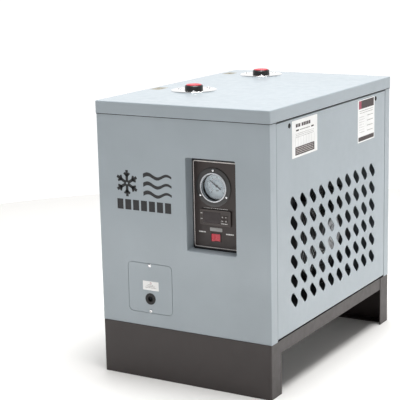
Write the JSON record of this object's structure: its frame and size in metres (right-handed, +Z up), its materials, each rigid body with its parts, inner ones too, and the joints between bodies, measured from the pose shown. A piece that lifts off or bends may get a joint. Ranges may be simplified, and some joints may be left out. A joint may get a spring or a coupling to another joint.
{
  "type": "refrigerated air dryer",
  "caption": "Floor-standing refrigerated compressed-air dryer: grey sheet cabinet on a dark base, sunk control panel, slotted side panels and threaded ports on top.",
  "frame": {"origin": "centre of the footprint at floor level", "axes": "+X across the front to the right, +Y from the front to the rear, +Z up"},
  "size_m": [0.437, 0.642, 0.6411],
  "materials": {
    "base_paint": "dark brown powder coat",
    "panel_paint": "light grey powder coat",
    "side_paint": "light grey powder coat",
    "cover_paint": "glossy off-white powder coat",
    "plate_paint": "dark brown satin",
    "zinc_plate": "zinc-plated sheet",
    "bright_screw": "bright plated",
    "soft_rubber": "matt",
    "sticker": "printed film",
    "brass_fitting": "machined",
    "polished_disc": "polished",
    "black_iron": "black enamel",
    "copper_pipe": "drawn copper",
    "black_screw": "black oxide",
    "red_plug": "moulded",
    "gauge_black": "black satin",
    "gauge_chrome": "polished",
    "dial_white": "printed",
    "pointer_black": "matt",
    "gauge_lens": "clear",
    "controller_black": "fine texture",
    "display_lens": "smoked",
    "key_plastic": "membrane key",
    "switch_base": "moulded",
    "switch_red": "moulded",
    "terminal_plastic": "moulded",
    "compressor_paint": "gloss black",
    "cover_plastic": "moulded",
    "fin_aluminium": "thin fins",
    "shroud_paint": "grey paint",
    "black_wire": "coated wire",
    "motor_aluminium": "die cast",
    "blade_aluminium": "pressed sheet",
    "foam_jacket": "closed-cell foam",
    "separator_aluminium": "cast, painted",
    "blue_hose": "nylon tube"
  },
  "bodies": {
    "cabinet": {"front_plinth": "base_paint", "rear_plinth": "base_paint", "side_rails": "base_paint", "floor_pan": "zinc_plate", "front_panel": "panel_paint", "rear_panel": "panel_paint", "upper_rails": "zinc_plate", "top_cover": "cover_paint", "control_plate": "plate_paint", "access_cover": "panel_paint", "cover_screws": "bright_screw", "cable_grommet": "soft_rubber", "cabinet_labels": "sticker", "connection_plate": "plate_paint", "drain_outlet": "brass_fitting", "port_discs": "polished_disc", "disc_screws": "bright_screw", "port_sockets": "black_iron", "air_pipes": "copper_pipe", "gauge_case": "gauge_black", "gauge_bezel": "gauge_chrome", "gauge_dial": "dial_white", "gauge_glass": "gauge_lens", "gauge_screws": "bright_screw", "controller_body": "controller_black", "display_window": "display_lens", "switch_frame": "switch_base", "terminal_block": "terminal_plastic", "compressor_lower_shell": "compressor_paint", "compressor_upper_shell": "compressor_paint", "compressor_grommets": "soft_rubber", "compressor_terminal_cover": "cover_plastic", "condenser_fins": "fin_aluminium", "condenser_tubes": "copper_pipe", "fan_shroud": "shroud_paint", "fan_guard": "black_wire", "fan_motor": "motor_aluminium", "heat_exchanger": "foam_jacket", "exchanger_hangers": "zinc_plate", "moisture_separator": "separator_aluminium", "drain_valve": "brass_fitting", "drain_hose": "blue_hose", "filter_drier": "copper_pipe", "bypass_valve": "brass_fitting", "copper_lines": "copper_pipe"},
    "right_panel_set": {"right_panel": "side_paint", "right_panel_screws": "black_screw", "side_labels": "sticker"},
    "left_panel_set": {"left_panel": "side_paint", "left_panel_screws": "black_screw"},
    "inlet_plug": {"inlet_plug": "red_plug"},
    "outlet_plug": {"outlet_plug": "red_plug"},
    "pointer": {"gauge_pointer": "pointer_black"},
    "key_up": {"key_up": "key_plastic"},
    "key_down": {"key_down": "key_plastic"},
    "key_set": {"key_set": "key_plastic"},
    "key_power": {"key_power": "key_plastic"},
    "rocker": {"switch_rocker": "switch_red"},
    "fan": {"fan_blades": "blade_aluminium"},
    "valve_lever": {"valve_lever": "red_plug"}
  },
  "joints": [
    {"name": "right_panel_off", "type": "slide", "parent": "cabinet", "child": "right_panel_set", "axis": [1, 0, 0], "range_m": [0, 0.25]},
    {"name": "left_panel_off", "type": "slide", "parent": "cabinet", "child": "left_panel_set", "axis": [-1, 0, 0], "range_m": [0, 0.25]},
    {"name": "inlet_plug_pull", "type": "slide", "parent": "cabinet", "child": "inlet_plug", "axis": [0, 0, 1], "range_m": [0, 0.12]},
    {"name": "outlet_plug_pull", "type": "slide", "parent": "cabinet", "child": "outlet_plug", "axis": [0, 0, 1], "range_m": [0, 0.12]},
    {"name": "gauge_pointer_turn", "type": "hinge", "parent": "cabinet", "child": "pointer", "pos_m": [0.065, -0.2915, 0.449], "axis": [0, 1, 0], "range_deg": [-79.5, 190.5]},
    {"name": "key_up_press", "type": "slide", "parent": "cabinet", "child": "key_up", "axis": [0, 1, 0], "range_m": [0, 0.0005], "stiffness_N_per_m": 800, "springref_m": -0.0004},
    {"name": "key_down_press", "type": "slide", "parent": "cabinet", "child": "key_down", "axis": [0, 1, 0], "range_m": [0, 0.0005], "stiffness_N_per_m": 800, "springref_m": -0.0004},
    {"name": "key_set_press", "type": "slide", "parent": "cabinet", "child": "key_set", "axis": [0, 1, 0], "range_m": [0, 0.0005], "stiffness_N_per_m": 800, "springref_m": -0.0004},
    {"name": "key_power_press", "type": "slide", "parent": "cabinet", "child": "key_power", "axis": [0, 1, 0], "range_m": [0, 0.0005], "stiffness_N_per_m": 800, "springref_m": -0.0004},
    {"name": "power_rocker", "type": "hinge", "parent": "cabinet", "child": "rocker", "pos_m": [0.0685, -0.2885, 0.3384], "axis": [0, 0, 1], "range_deg": [-20, 0]},
    {"name": "fan_spin", "type": "hinge", "parent": "cabinet", "child": "fan", "pos_m": [0.1225, 0.096, 0.274], "axis": [1, 0, 0], "continuous": true},
    {"name": "drain_valve_turn", "type": "hinge", "parent": "cabinet", "child": "valve_lever", "pos_m": [-0.099, 0.216, 0.1645], "axis": [0, 1, 0], "range_deg": [0, 90]}
  ]
}
